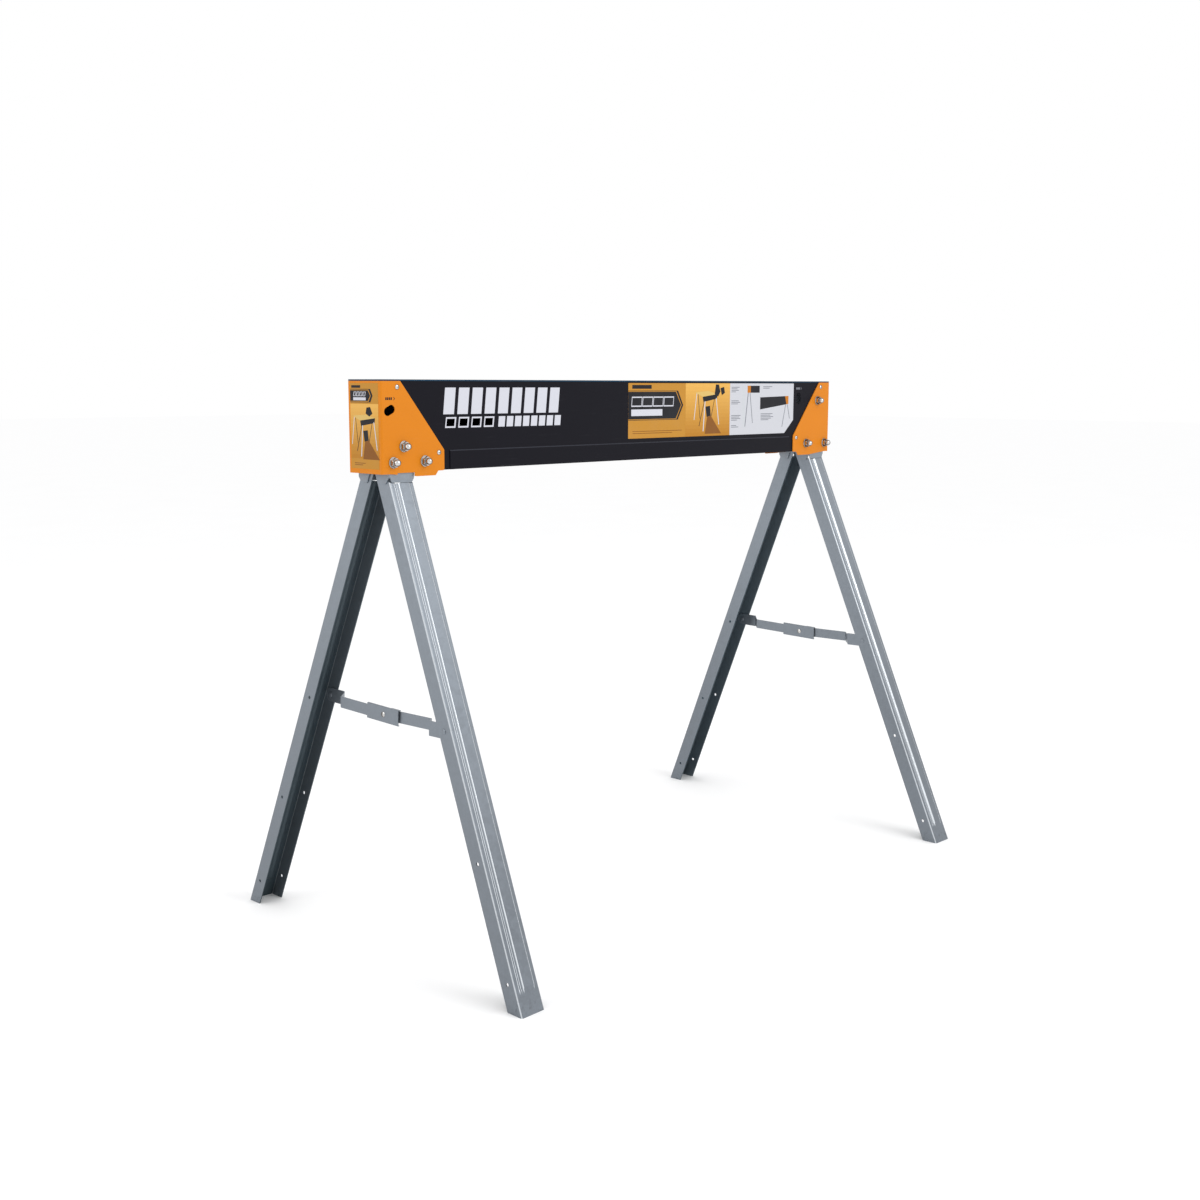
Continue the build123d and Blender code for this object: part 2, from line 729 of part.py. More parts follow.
# ----------------------------------------------------------------------------- nodes
nodes = {
    "beam_shell": beam_shell(),
    "end_bracket_rivets": bracket_rivets(),
    "fixing_studs": fixing_studs(),
    "fixing_washers": fixing_washers(),
    "fixing_dome_nuts": fixing_nuts(),
    "pivot_washers": pivot_washers(),
    "pivot_dome_nuts": pivot_nuts(),
    "front_label": front_label(),
    "end_label": end_label(),
}
for side in sides:
    nodes[f"{side.name}_end_bracket"] = end_bracket(side)
    nodes[f"{side.name}_pivot_bolt"] = pivot_bolt(side)
    nodes[f"{side.name}_pivot_sleeve"] = pivot_sleeve(side)
    nodes[f"{side.name}_leg_bracket"] = leg_bracket(side)
    nodes[f"{side.name}_leg_hinge_pins"] = hinge_pins(side)
    nodes[f"{side.name}_stow_latch"] = stow_latch(side)
    nodes[f"{side.name}_brace_channel"] = brace_channel(side)
    nodes[f"{side.name}_brace_centre_rivet"] = brace_centre_rivet(side)
    nodes[f"{side.name}_brace_centre_tail"] = brace_centre_tail(side)
    for face, word in zip(faces, ("front", "back")):
        nodes[f"{side.name}_{word}_leg"] = leg(side, face)
        nodes[f"{side.name}_{word}_brace_strip"] = brace_strip(side, face)
        nodes[f"{side.name}_{word}_brace_rivet"] = brace_leg_rivet(side, face)

os.makedirs("parts", exist_ok=True)
for name, shape in nodes.items():
    solids = shape if isinstance(shape, list) else [shape]
    flat = [solid for item in solids for solid in item.solids()]
    export_step(Compound(children=flat) if len(flat) > 1 else flat[0], f"parts/{name}.step")
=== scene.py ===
"""Folding sawhorse: finishes, printed films, fasteners and studio, laid out as an add-on.

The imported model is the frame: its steelwork keeps its shape and gets a finish, and the small
parts whose edges show (washers, domed nuts, rivets and printed films) are made here.
"""

import json

import bpy
import numpy as np
from bpy.props import FloatProperty, FloatVectorProperty, PointerProperty
from mathutils import Euler, Matrix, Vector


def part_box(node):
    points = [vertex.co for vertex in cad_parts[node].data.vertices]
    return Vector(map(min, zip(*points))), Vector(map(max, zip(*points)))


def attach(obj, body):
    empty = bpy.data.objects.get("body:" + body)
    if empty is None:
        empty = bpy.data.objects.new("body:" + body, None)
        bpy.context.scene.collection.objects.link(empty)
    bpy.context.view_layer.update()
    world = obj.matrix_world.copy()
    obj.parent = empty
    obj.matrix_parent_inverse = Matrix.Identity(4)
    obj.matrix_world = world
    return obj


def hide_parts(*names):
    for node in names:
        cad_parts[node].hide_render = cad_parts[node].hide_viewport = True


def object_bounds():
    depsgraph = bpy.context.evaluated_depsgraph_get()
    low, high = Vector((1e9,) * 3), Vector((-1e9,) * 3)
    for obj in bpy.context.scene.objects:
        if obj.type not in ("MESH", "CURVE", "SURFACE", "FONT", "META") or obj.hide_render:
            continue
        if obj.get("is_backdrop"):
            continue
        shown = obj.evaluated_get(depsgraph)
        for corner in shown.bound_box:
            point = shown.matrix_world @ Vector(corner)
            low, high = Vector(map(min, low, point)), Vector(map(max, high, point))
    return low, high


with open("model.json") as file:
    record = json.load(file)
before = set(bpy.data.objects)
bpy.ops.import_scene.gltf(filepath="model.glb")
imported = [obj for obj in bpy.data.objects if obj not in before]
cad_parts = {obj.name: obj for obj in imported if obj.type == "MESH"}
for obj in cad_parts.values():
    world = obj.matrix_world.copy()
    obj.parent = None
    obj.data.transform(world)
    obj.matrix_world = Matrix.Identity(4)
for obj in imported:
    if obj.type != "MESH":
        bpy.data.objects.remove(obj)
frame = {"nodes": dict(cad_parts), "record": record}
CAD_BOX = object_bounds()

bl_info = {
    "name": "Folding Sawhorse",
    "version": (1, 0, 0),
    "blender": (4, 5, 0),
    "location": "3D View > Sidebar > Sawhorse",
    "description": "Finishes, fasteners, printed films and studio of a folding sawhorse",
    "category": "Object",
}

LOW, HIGH = (np.array(corner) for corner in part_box("beam_shell"))
TOP = HIGH[2]
HALF_LENGTH = HIGH[0]
HALF_WIDTH = HIGH[1]

# Fasteners of each end: (side, from the end, below the top face), in metres.
STUDS = [(-1, 0.019, 0.112), (-1, 0.074, 0.1115), (1, 0.014, 0.1115), (1, 0.070, 0.111)]
BOLTS = [(-1, 0.0375, 0.0904), (1, 0.0375, 0.0345)]
RIVETS = [(side, *place) for side in (-1, 1) for place in ((0.0275, 0.0102), (0.0995, 0.1005))]

# Leg pairs, in degrees and metres.
LEAN = 1.8                  # pair from upright, feet outwards
SPLAY = 22.6                # each leg from the pair's middle plane
PAIR_OUTSET = 0.001         # legs off the pivot bolt, towards the end of the beam
HINGE_HEIGHT = 0.690        # floor to the leg hinges
HINGE_OFFSET = 0.0111       # pair's middle plane to a leg hinge
HINGE_DEPTH = 0.0146        # outer face of a leg's web to its hinge
HALF_LEG = 0.0205
LEG_WALL = 0.0015


# ---------------------------------------------------------------------------- meshes
def mesh_object(name, points, faces, smooth_angle=35):
    """Object at the origin made of an array of points and a list of face loops."""
    mesh = bpy.data.meshes.new(name)
    mesh.from_pydata([tuple(p) for p in points], [], [tuple(f) for f in faces])
    mesh.polygons.foreach_set("use_smooth", np.ones(len(mesh.polygons), dtype=bool))
    mesh.update()
    mesh.set_sharp_from_angle(angle=np.radians(smooth_angle))
    piece = bpy.data.objects.new(name, mesh)
    bpy.context.scene.collection.objects.link(piece)
    return piece


def turned(profile, around=72, across_flats=None, hexed=0):
    """Surface of revolution about Z.

    A point at angle a and row k is (r cos a, r sin a, z_k) with r the row's radius.  The first
    `hexed` rows are also cut to a hexagon, r = min(radius, flat / cos(a folded into 60 degrees)).
    """
    rows = np.array(profile, dtype=float)
    angle = np.linspace(0, 2 * np.pi, around, endpoint=False)
    radius = np.repeat(rows[:, :1], around, axis=1)
    if across_flats:
        folded = (angle + np.pi / 6) % (np.pi / 3) - np.pi / 6
        flat = across_flats / 2 / np.cos(folded)
        radius[:hexed] = np.minimum(radius[:hexed], flat)
    height = np.repeat(rows[:, 1:2], around, axis=1)
    return np.stack([radius * np.cos(angle), radius * np.sin(angle), height], axis=-1)


def grid_faces(rows, around, start, closed):
    """Quads of a grid that wraps round its second direction, and its first if closed."""
    i = np.arange(rows if closed else rows - 1)[:, None]
    j = np.arange(around)[None, :]
    a = i * around + j
    b = i * around + (j + 1) % around
    c = ((i + 1) % rows) * around + (j + 1) % around
    d = ((i + 1) % rows) * around + j
    return (np.stack([a, b, c, d], axis=-1).reshape(-1, 4) + start).tolist()


def set_of_turned(name, profile, places, closed=False, **shape):
    """Copies of one turned shape, each pointing out of the beam's front or back.

    A place is (side, from the end, below the top, face, standing height), and the copy's own
    (x, y, z) goes to (x, face * z, y * -face) plus that place.
    """
    base = turned(profile, **shape)
    rows, around = base.shape[:2]
    base = base.reshape(-1, 3)
    points, faces = [], []
    for side, inset, drop, face, stand in places:
        origin = np.array([side * (HALF_LENGTH - inset), face * (HALF_WIDTH + stand), TOP - drop])
        placed = np.stack([base[:, 0], face * base[:, 2], -face * base[:, 1]], axis=-1) + origin
        start = sum(len(p) for p in points)
        points.append(placed)
        faces += grid_faces(rows, around, start, closed)
        if not closed:
            faces.append([start + (rows - 1) * around + k for k in range(around)])
            faces.append([start + k for k in range(around)][::-1])
    return mesh_object(name, np.concatenate(points), faces)


def both_faces(places, stand=0.0):
    """The same places on the front and on the back."""
    return [(*place, face, stand) for place in places for face in (-1, 1)]


def finish_piece(piece, material, body, slot, *nodes):
    """Finish and body of a new piece, and the frame nodes it stands for; slot is not used."""
    piece.data.materials.append(bpy.data.materials[material])
    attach(piece, body)
    if nodes:
        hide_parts(*nodes)


# ---------------------------------------------------------------------------- shader maths
class Value:
    """A number socket, so that shader maths reads as arithmetic."""

    def __init__(self, finish, socket):
        self.finish = finish
        self.socket = socket

    def maths(self, operation, *others):
        return self.finish.maths(operation, self, *others)

    def __add__(self, other):
        return self.maths("ADD", other)

    def __sub__(self, other):
        return self.maths("SUBTRACT", other)

    def __mul__(self, other):
        return self.maths("MULTIPLY", other)

    def __rsub__(self, other):
        return self.finish.maths("SUBTRACT", other, self)

    def __neg__(self):
        return self * -1.0

    __radd__ = __add__
    __rmul__ = __mul__


class Finish:
    """A material on one Principled shader, built node by node."""

    def __init__(self, name, **constants):
        self.material = bpy.data.materials.new(name)
        self.material.use_nodes = True
        self.tree = self.material.node_tree
        self.shader = self.tree.nodes["Principled BSDF"]
        self.set(self.shader, constants)

    def set(self, node, inputs):
        for key, value in inputs.items():
            socket = node.inputs[key if isinstance(key, int) else key.replace("_", " ")]
            if isinstance(value, Value):
                self.tree.links.new(value.socket, socket)
            elif isinstance(value, bpy.types.NodeSocket):
                self.tree.links.new(value, socket)
            else:
                socket.default_value = value

    def node(self, kind, inputs=None, **settings):
        """Any node: settings are its own options, inputs are its sockets by name or number."""
        made = self.tree.nodes.new(kind)
        for key, value in settings.items():
            setattr(made, key, value)
        self.set(made, inputs or {})
        return made

    def maths(self, operation, *values):
        made = self.node("ShaderNodeMath", dict(enumerate(values)), operation=operation)
        return Value(self, made.outputs[0])

    def place(self, kind="Object"):
        """Place on the piece, or its Normal, as a vector, and its three numbers."""
        vector = self.node("ShaderNodeTexCoord").outputs[kind]
        split = self.node("ShaderNodeSeparateXYZ", {0: vector})
        return vector, [Value(self, out) for out in split.outputs]

    def noise(self, vector, scale, detail=3.0, rough=0.5):
        inputs = {"Vector": vector, "Scale": scale, "Detail": detail, "Roughness": rough}
        return Value(self, self.node("ShaderNodeTexNoise", inputs).outputs["Fac"])

    def crystals(self, vector, scale):
        """One random number for each cell of a crystal pattern."""
        cells = self.node("ShaderNodeTexVoronoi", {"Vector": vector, "Scale": scale})
        split = self.node("ShaderNodeSeparateColor", {0: cells.outputs["Color"]})
        return Value(self, split.outputs[0])

    def stretch(self, vector, amounts):
        made = self.node("ShaderNodeVectorMath", {0: vector, 1: amounts}, operation="MULTIPLY")
        return made.outputs[0]

    def step(self, value, low, high):
        """0 below low, 1 above high, smooth between."""
        made = self.node(
            "ShaderNodeMapRange",
            {"Value": value, "From_Min": low, "From_Max": high},
            interpolation_type="SMOOTHSTEP",
        )
        return Value(self, made.outputs[0])

    def ridge(self, distance, half):
        """1 where distance is near zero, falling to 0 past half."""
        return 1.0 - self.step(self.maths("ABSOLUTE", distance), half * 0.5, half * 1.3)

    def mix(self, factor, first, second):
        """Colour between two others."""
        made = self.node("ShaderNodeMix", {0: factor, 6: first, 7: second}, data_type="RGBA")
        return made.outputs[2]

    def bump(self, height, strength, distance):
        inputs = {"Height": height, "Strength": strength, "Distance": distance}
        self.set(self.shader, {"Normal": self.node("ShaderNodeBump", inputs).outputs[0]})


def rgb(colour, gain=1.0):
    """Colour as four numbers, made lighter or darker."""
    return (*[min(1.0, c * gain) for c in colour[:3]], 1.0)


def powder_coat(name, colour, specular, roughness, painted_highlight_strength):
    """Powder coat: fine orange peel, cloudy tone, a few pale scuffs near handled edges, and painted
    highlights along the top edge and the hem's bead.
    """
    coat = Finish(name, Specular_IOR_Level=specular)
    vector, (x, y, z) = coat.place()
    peel = coat.noise(vector, 700.0, 2.0)
    cloud = coat.noise(vector, 7.0, 4.0)
    grain = coat.noise(vector, 1800.0, 1.0)
    scratch = coat.noise(coat.stretch(vector, (14.0, 60.0, 420.0)), 1.0, 5.0, 0.65)
    near_top = coat.step(z, TOP - 0.004, TOP)
    near_foot = 1.0 - coat.step(z, LOW[2] - 0.004, LOW[2] + 0.006)
    # painted highlight: a bluish band just below the top edge, where the rounded edge catches the sky
    painted_top_highlight = coat.step(z, TOP - 0.0026, TOP - 0.0016) * (1.0 - coat.step(z, TOP - 0.0006, TOP - 0.0001))
    worn = coat.step(scratch, 0.60, 0.72) * (near_top + near_foot + 0.06)
    tone = coat.mix(cloud, rgb(colour, 0.90), rgb(colour, 1.10))
    tone = coat.mix(grain * 0.12, tone, rgb(colour, 1.5))
    tone = coat.mix(worn * 0.28, tone, (0.42, 0.42, 0.43, 1.0))
    tone = coat.mix(painted_top_highlight * painted_highlight_strength, tone, (0.012, 0.045, 0.085, 1.0))
    outside = coat.step(coat.maths("ABSOLUTE", y), HALF_WIDTH - 0.0012, HALF_WIDTH - 0.0009)
    # painted highlight: a thin lighter line along the hem's bead on the outer faces
    painted_bead_highlight = coat.ridge(z - (LOW[2] + 0.0267), 0.0009) * outside
    tone = coat.mix(painted_bead_highlight * painted_highlight_strength * 0.8, tone, (0.040, 0.042, 0.055, 1.0))
    rough = roughness + (cloud - 0.5) * 0.10 + (peel - 0.5) * 0.08 + worn * 0.1
    coat.set(coat.shader, {"Base_Color": tone, "Roughness": rough})
    coat.bump(peel + grain * 0.3, 0.10, 0.0004)
    return coat.material


def painted_press_light(zinc, x, y, z, side, face):
    """Masks of painted light on one leg: 1 along the pressed edges of its web, where highlights are
    painted, and 1 inside the leg and on its free edges, where shade is painted.

    Across the leg is the distance along the pair's own X from the grooved side; depth is the
    distance in from the web's outer face, found by turning the place back by lean and splay.
    Outer is the part of the face's normal that points straight out of the web.
    """
    _, inset, drop = BOLTS[0 if side < 0 else 1]
    pivot_x, pivot_z = side * (HALF_LENGTH - inset), TOP - drop
    lean, splay = np.radians(-side * LEAN), np.radians(SPLAY)
    along = x - pivot_x
    up = z - pivot_z
    sideways = (along * np.cos(lean) - up * np.sin(lean) - side * PAIR_OUTSET) * -face
    upright = along * np.sin(lean) + up * np.cos(lean) + (pivot_z - HINGE_HEIGHT) / np.cos(lean)
    outward = y * -face + HINGE_OFFSET
    depth = outward * np.cos(splay) - upright * np.sin(splay) + HINGE_DEPTH
    across = sideways + HALF_LEG
    _, (_, normal_y, normal_z) = zinc.place("Normal")
    outer = normal_y * face * np.cos(splay) + normal_z * np.sin(splay)
    on_web = (1.0 - zinc.step(depth, 0.0012, 0.0016)) * zinc.step(outer, 0.1, 0.4)
    pressed = zinc.step(z, 0.026, 0.032)
    lines = 0.0
    # the painted highlight along the rib's step is wider on the right pair
    rib_step = 0.0008 if side < 0 else 0.0019
    edges = ((0.0073, 0.0007), (0.0107, 0.0004), (0.0144, rib_step), (0.0331, 0.0004))
    for centre, half in edges:
        lines = zinc.ridge(across - centre, half) + lines
    # painted highlight along the rounded corner between the web and the flange, at 0.7 strength
    corner = zinc.maths("ABSOLUTE", across - depth)
    corner = (1.0 - zinc.step(corner, 0.0009, 0.0016)) * (1.0 - zinc.step(across, 0.0012, 0.0018))
    from_side = HALF_LEG - zinc.maths("ABSOLUTE", sideways)
    # painted shade: 1 on the inner faces of the leg's walls and on faces turned into the leg
    inside = zinc.step(depth, LEG_WALL - 0.0001, LEG_WALL + 0.0003)
    inside = inside * zinc.step(from_side, LEG_WALL - 0.0002, LEG_WALL + 0.0002)
    inside = zinc.maths("MAXIMUM", inside, zinc.step(-outer, 0.45, 0.65))
    return zinc.maths("MINIMUM", lines * on_web * pressed + corner * 0.7, 1.0), inside


def galvanised(name, colour, side=0, face=0):
    """Hot-dip zinc: crystal spangle, drawing streaks along the sheet and dull patches; on a leg also
    painted highlights along its pressed edges and painted shade inside it.
    """
    zinc = Finish(name, Specular_IOR_Level=0.4)
    vector, (x, y, z) = zinc.place()
    drift = zinc.node("ShaderNodeTexNoise", {"Vector": vector, "Scale": 60.0}).outputs["Color"]
    warped = zinc.node(
        "ShaderNodeVectorMath",
        {0: drift, 1: (0.008, 0.008, 0.008), 2: vector},
        operation="MULTIPLY_ADD",
    ).outputs[0]
    flake = zinc.crystals(warped, 130.0)
    fine = zinc.crystals(warped, 420.0)
    streak = zinc.noise(zinc.stretch(vector, (900.0, 900.0, 6.0)), 1.0, 3.0)
    cloud = zinc.noise(vector, 5.0, 5.0)
    foot = 1.0 - zinc.step(z, 0.0, 0.03)
    scuff = zinc.step(zinc.noise(vector, 160.0, 4.0, 0.7), 0.52, 0.66) * foot
    light = (flake - 0.5) * 0.16 + (fine - 0.5) * 0.08 + (streak - 0.5) * 0.12 + (cloud - 0.5) * 0.22
    # painted shade: the zinc darkens from 0.68 m down to 0.10 m above the floor
    light = light + zinc.step(z, 0.10, 0.68) * 0.52 - 0.36
    tone = zinc.mix(zinc.maths("ADD", light, 0.5), rgb(colour, 0.72), rgb(colour, 1.28))
    tone = zinc.mix(scuff * 0.6, tone, rgb(colour, 0.45))
    rough = 0.42 + (flake - 0.5) * 0.14 + (cloud - 0.5) * 0.2 + scuff * 0.15
    metal = 0.72 + (flake - 0.5) * 0.1
    if side:
        # on a leg: painted highlights along the pressed edges and the web's corner, pale and less rough
        painted_edge_highlight, inside = painted_press_light(zinc, x, y, z, side, face)
        painted_edge_highlight = painted_edge_highlight * (0.85 + (streak - 0.5) * 0.4)
        # painted shade inside the leg: a dark teal, lighter on the right pair, with less metal
        shade = rgb((0.014, 0.034, 0.044), 1.0 if side < 0 else 2.2)
        tone = zinc.mix(inside * (0.70 + cloud * 0.2), tone, shade)
        tone = zinc.mix(painted_edge_highlight, tone, (0.80, 0.84, 0.88, 1.0))
        metal = metal - inside * 0.3
        rough = rough - painted_edge_highlight * 0.15
    zinc.set(zinc.shader, {"Base_Color": tone, "Roughness": rough, "Metallic": metal})
    zinc.bump(flake * 0.25 + fine * 0.15 + streak * 0.5, 0.06, 0.0003)
    return zinc.material


def bright_zinc(name, colour):
    """Plated fasteners: Layer Weight paints shade into the base colour, dark and warm towards their
    rims.
    """
    plate = Finish(name, Metallic=1.0)
    vector, _ = plate.place()
    cloud = plate.noise(vector, 90.0, 4.0)
    fine = plate.noise(vector, 1500.0, 2.0)
    tone = plate.mix(cloud, rgb(colour, 0.80), rgb(colour, 1.12))
    tone = plate.mix(plate.step(cloud, 0.55, 0.75) * 0.35, tone, (0.62, 0.55, 0.42, 1.0))
    # painted shade: the base colour darkens towards the rims as the surface turns from the eye
    rim = Value(plate, plate.node("ShaderNodeLayerWeight", {"Blend": 0.42}).outputs["Facing"])
    shade = plate.step(rim, 0.12, 0.56) * (1.0 - plate.step(rim, 0.84, 0.98) * 0.7)
    tone = plate.mix(shade * 0.93, tone, (0.070, 0.045, 0.030, 1.0))
    plate.set(plate.shader, {"Base_Color": tone, "Roughness": 0.10 + cloud * 0.12})
    plate.bump(fine + cloud, 0.05, 0.0002)
    return plate.material


def moulded(name, colour):
    """Moulded plastic with a fine matt grain."""
    plastic = Finish(name, Specular_IOR_Level=0.4)
    vector, _ = plastic.place()
    grain = plastic.noise(vector, 1300.0, 3.0)
    tone = plastic.mix(grain, rgb(colour, 0.8), rgb(colour, 1.3))
    plastic.set(plastic.shader, {"Base_Color": tone, "Roughness": 0.5 + (grain - 0.5) * 0.2})
    plastic.bump(grain, 0.15, 0.0003)
    return plastic.material


def printed_film(name):
    """Glossy printed film: ink from the piece's own colours, with dot grain and soft ripple."""
    film = Finish(name, Specular_IOR_Level=0.12, Coat_Roughness=0.15)
    vector, _ = film.place()
    ink = film.node("ShaderNodeVertexColor", layer_name="ink").outputs["Color"]
    dots = film.noise(vector, 2400.0, 1.0)
    cloud = film.noise(vector, 22.0, 4.0)
    tone = film.mix((dots - 0.5) * 0.16 + 0.08, ink, (0.0, 0.0, 0.0, 1.0))
    tone = film.mix(film.step(cloud, 0.45, 0.75) * 0.012, tone, (0.5, 0.5, 0.5, 1.0))
    rough = 0.30 + (cloud - 0.5) * 0.12
    coat = 0.04 + cloud * 0.10
    film.set(film.shader, {"Base_Color": tone, "Roughness": rough, "Coat_Weight": coat})
    film.bump(cloud + dots * 0.1, 0.05, 0.0008)
    return film.material


# ---------------------------------------------------------------------------- printed films
YELLOW = (0.50, 0.235, 0.030)
AMBER = (0.50, 0.22, 0.018)
BROWN = (0.23, 0.085, 0.012)
TAN = (0.66, 0.45, 0.14)
INK = (0.012, 0.012, 0.016)
WHITE = (0.60, 0.61, 0.67)
PALE = (0.56, 0.57, 0.61)
GREY = (0.20, 0.21, 0.24)
ORANGE = (0.52, 0.17, 0.008)


def bar(u, v, width, height, slant=0.0):
    """Outline of a bar from its upper left corner, leaning by slant."""
    return [(u + slant, v), (u + width + slant, v), (u + width, v + height), (u, v + height)]


def line(u0, v0, u1, v1, width):
    """Outline of a straight stroke between two points."""
    across = np.array([v0 - v1, u1 - u0], dtype=float)
    across *= width / 2 / np.hypot(*across)
    ends = np.array([[u0, v0], [u1, v1]])
    return [*(ends - across), *(ends + across)[::-1]]


def small_print(u, v, lengths, height=1.2, pitch=2.6):
    """Lines of small print as plain bars."""
    return [bar(u, v + k * pitch, length, height) for k, length in enumerate(lengths)]


def trestle_picture(u, v, k, top, dark, pale):
    """Small picture of a trestle with its upper left corner at (u, v), k times full size."""
    def s(outline):
        return [(u + k * a, v + k * b) for a, b in outline]

    return [
        (s([(2, 10), (34, 8), (56, 13), (20, 17)]), top),
        (s([(20, 17), (56, 13), (55, 20), (22, 25)]), dark),
        (s(line(6, 12, 0, 52, 1.3)), pale),
        (s(line(9, 13, 14, 50, 1.1)), dark),
        (s(line(26, 24, 22, 70, 1.9)), pale),
        (s(line(24, 24, 12, 62, 1.2)), dark),
        (s(line(53, 19, 60, 60, 1.6)), pale),
        (s(line(49, 20, 40, 52, 1.1)), dark),
        (s([(27, 32), (38, 31), (40, 46), (30, 48)]), dark),
        (s([(31, 48), (40, 46), (66, 74), (26, 74)]), BROWN),
    ]


def picture_ground(u, v, width, height, steps=14):
    """Warm picture ground: strips from tan at the top to brown at the foot."""
    strips = []
    for k in range(steps):
        t = k / (steps - 1)
        colour = np.array(TAN) * (1 - t) * 0.55 + np.array(AMBER) * 0.75 + np.array(BROWN) * t * 0.35
        strip = bar(u, v + height * k / steps, width, height / steps)
        strips.append((strip, tuple(colour)))
    return strips


def badge(u, v, width, height):
    """Dark arrow-ended badge with a fine outline, blank blocks inside."""
    nose = height * 0.28

    def arrow(margin, back):
        top, tip, low = v + margin, u + width - back, v + height - margin
        return [(u, top), (tip - nose, top), (tip, v + height / 2), (tip - nose, low), (u, low)]

    shapes = [(arrow(0, 0), INK), (arrow(0.8, 4), YELLOW), (arrow(1.8, 5.4), INK)]
    cell = (width - nose - 22) / 4
    for k in range(4):
        left = u + 7 + k * (cell + 1.2)
        shapes.append((bar(left, v + height * 0.20, cell, height * 0.34, 1.5), WHITE))
        shapes.append((bar(left + 1.4, v + height * 0.24, cell - 2.4, height * 0.26, 1.2), INK))
    shapes.append((bar(u + 7, v + height * 0.63, (width - nose) * 0.62, height * 0.22), WHITE))
    return shapes


def film_object(name, outline, base, shapes, place, thickness, lift=0.00004):
    """Printed film: a plate from its outline, with flat inked shapes on it.

    place turns (u, v) in millimetres and a height in metres into points, and every shape lies
    one lift above the one before it where they may overlap.
    """
    outline = np.array(outline, dtype=float)
    back = place(outline, 0.0)
    front = place(outline, thickness)
    count = len(outline)
    points = [back, front]
    faces = [list(range(count, 2 * count)), list(range(count))[::-1]]
    faces += [[k, (k + 1) % count, count + (k + 1) % count, count + k] for k in range(count)]
    colours = [base] * len(faces)
    start = 2 * count
    for index, (shape, colour) in enumerate(shapes):
        flat = np.array(shape, dtype=float)
        area = np.sum(flat[:, 0] * np.roll(flat[:, 1], -1) - flat[:, 1] * np.roll(flat[:, 0], -1))
        ordered = flat if area > 0 else flat[::-1]
        points.append(place(ordered, thickness + lift * (1 + index * 0.04)))
        faces.append(list(range(start, start + len(flat))))
        colours.append(colour)
        start += len(flat)
    whole = np.concatenate(points)
    normal = place(np.zeros((1, 2)), 1.0)[0] - place(np.zeros((1, 2)), 0.0)[0]
    first = faces[0]
    corner = np.cross(whole[first[1]] - whole[first[0]], whole[first[2]] - whole[first[1]])
    if corner @ normal < 0:
        faces = [face[::-1] for face in faces]
    piece = mesh_object(name, whole, faces, 20)
    ink = piece.data.color_attributes.new("ink", "FLOAT_COLOR", "CORNER")
    sizes = [len(face) for face in faces]
    flat_colours = np.repeat(np.array([(*c, 1.0) for c in colours]), sizes, axis=0)
    ink.data.foreach_set("color", flat_colours.ravel())
    return piece


def on_front(depth):
    """Places (u from the left end, v below the top) on a plane facing the front."""
    def place(uv, height):
        x = -HALF_LENGTH + uv[:, 0] / 1000
        z = TOP - uv[:, 1] / 1000
        return np.stack([x, np.full(len(uv), depth - height), z], axis=-1)
    return place


def on_left_end(uv, height):
    """Places (u from the back edge of the film, v below the top) on the left end wall."""
    y = 0.031 - uv[:, 0] / 1000
    z = TOP - uv[:, 1] / 1000
    return np.stack([np.full(len(uv), -HALF_LENGTH - height), y, z], axis=-1)


# ---------------------------------------------------------------------------- settings
class SawhorseFinishes(bpy.types.PropertyGroup):
    """Colours of the finishes."""

    beam: FloatVectorProperty(
        name="Beam",
        description="Powder coat of the beam",
        default=(0.0028, 0.0026, 0.0062),
        subtype="COLOR",
        min=0.0,
        max=1.0,
    )
    bracket: FloatVectorProperty(
        name="End brackets",
        description="Powder coat of the end brackets",
        default=(0.60, 0.185, 0.002),
        subtype="COLOR",
        min=0.0,
        max=1.0,
    )
    zinc: FloatVectorProperty(
        name="Galvanised",
        description="Zinc of the legs, braces and leg brackets",
        default=(0.235, 0.262, 0.295),
        subtype="COLOR",
        min=0.0,
        max=1.0,
    )
    plating: FloatVectorProperty(
        name="Fasteners",
        description="Plating of bolts, nuts and rivets",
        default=(0.62, 0.62, 0.61),
        subtype="COLOR",
        min=0.0,
        max=1.0,
    )


class SawhorseFasteners(bpy.types.PropertyGroup):
    """Sizes of the fasteners, in metres."""

    washer_radius: FloatProperty(
        name="Washer radius",
        description="Outside radius of a washer",
        default=0.0078,
        unit="LENGTH",
    )
    washer_wall: FloatProperty(
        name="Washer thickness",
        description="Thickness of a washer",
        default=0.0015,
        unit="LENGTH",
    )
    nut_across: FloatProperty(
        name="Nut width",
        description="Width of a nut across its flats",
        default=0.012,
        unit="LENGTH",
    )
    nut_height: FloatProperty(
        name="Nut height",
        description="Height of a nut's hexagon",
        default=0.0050,
        unit="LENGTH",
    )
    dome_radius: FloatProperty(
        name="Dome radius",
        description="Radius of a nut's domed end",
        default=0.0049,
        unit="LENGTH",
    )
    dome_rise: FloatProperty(
        name="Dome centre",
        description="Washer to the centre of the dome",
        default=0.0076,
        unit="LENGTH",
    )
    rivet_radius: FloatProperty(
        name="Rivet radius",
        description="Radius of a rivet's head",
        default=0.0035,
        unit="LENGTH",
    )
    rivet_height: FloatProperty(
        name="Rivet height",
        description="Height of a rivet's head",
        default=0.0018,
        unit="LENGTH",
    )


class SawhorseStudio(bpy.types.PropertyGroup):
    """Lights, floor and camera."""

    lens: FloatProperty(
        name="Lens",
        description="Focal length of the camera",
        default=43.65,
        unit="CAMERA",
    )
    sky: FloatProperty(
        name="Sky",
        description="Strength of the soft all-round light",
        default=1.0,
    )
    key: FloatProperty(
        name="Key light",
        description="Power of the main soft light",
        default=30.0,
        unit="POWER",
    )
    floor: FloatVectorProperty(
        name="Floor",
        description="Colour of the floor",
        default=(0.985, 0.985, 0.988),
        subtype="COLOR",
        min=0.0,
        max=1.0,
    )


